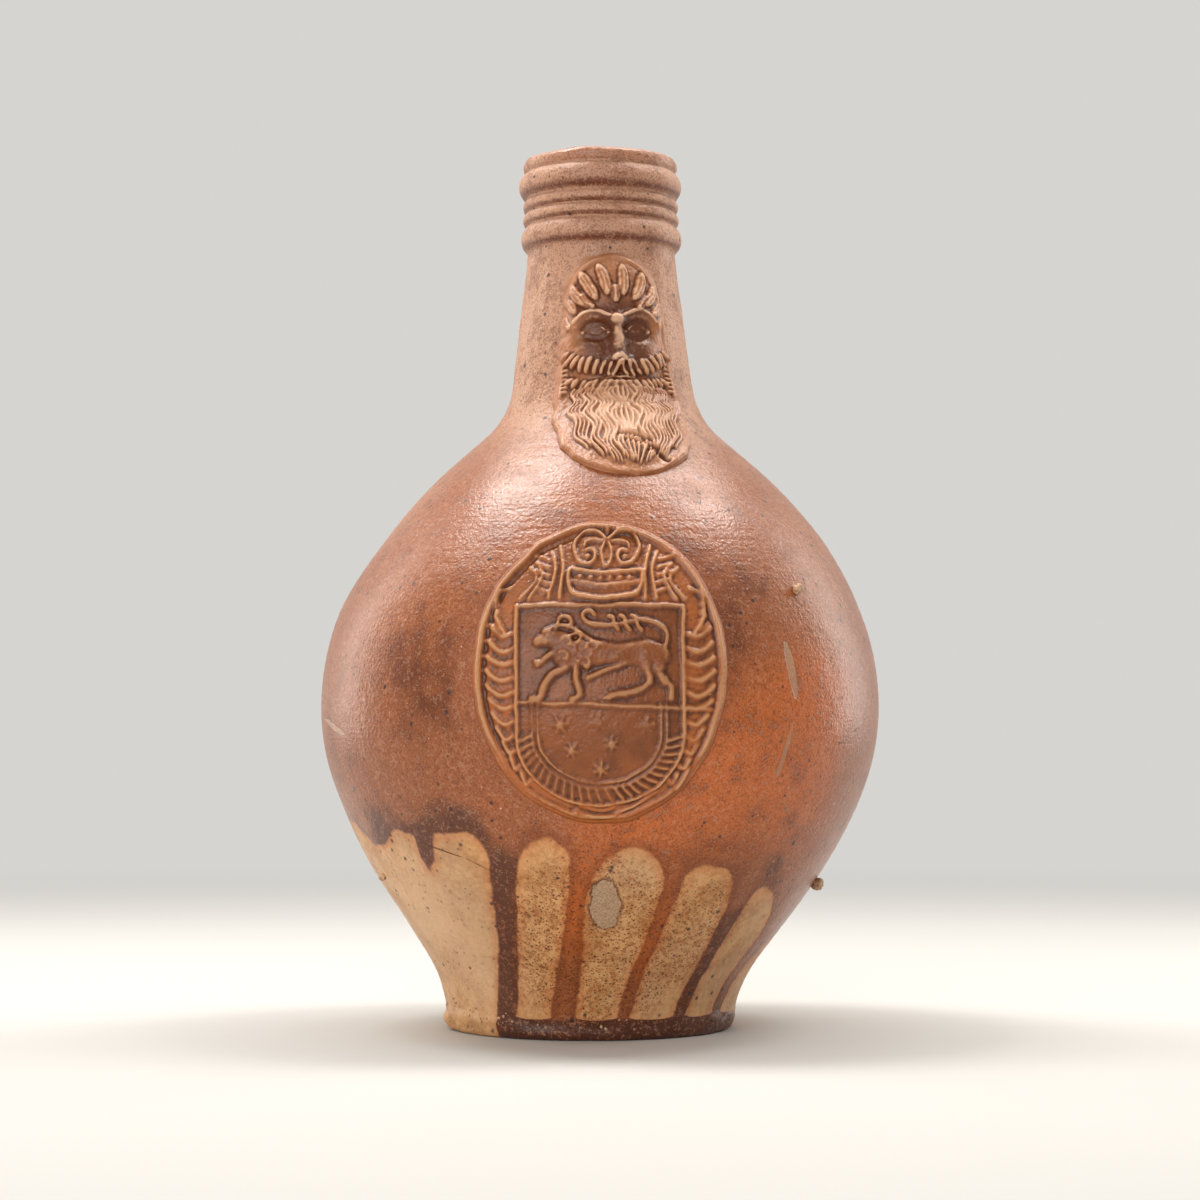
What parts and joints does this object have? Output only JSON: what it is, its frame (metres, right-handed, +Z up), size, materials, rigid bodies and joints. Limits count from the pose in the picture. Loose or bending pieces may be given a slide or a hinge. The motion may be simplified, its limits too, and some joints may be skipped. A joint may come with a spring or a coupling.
{
  "type": "bartmann jug",
  "caption": "Salt-glazed stoneware jug with a beaded collar, a strap handle, a bearded mask on the neck and an oval shield medallion.",
  "frame": {"origin": "on the jug's turning axis, at the flat ring of its base", "axes": "+Z up along the turning axis to the mouth, -Y to the front where the mask and the medallion are, +X to the right of someone facing the front"},
  "size_m": [0.1408, 0.143, 0.22],
  "materials": {
    "stoneware": "salt glaze over brown iron wash, bare buff clay towards the foot",
    "mask_clay": "thin salt glaze, paler on the ridges",
    "medallion_clay": "salt glaze over brown iron wash, dark in the hollows",
    "kiln_crumb": "rough fired clay"
  },
  "bodies": {
    "root": {"body": "stoneware", "handle": "stoneware", "mask": "mask_clay", "medallion": "medallion_clay", "kiln_grit": "kiln_crumb"}
  },
  "joints": []
}
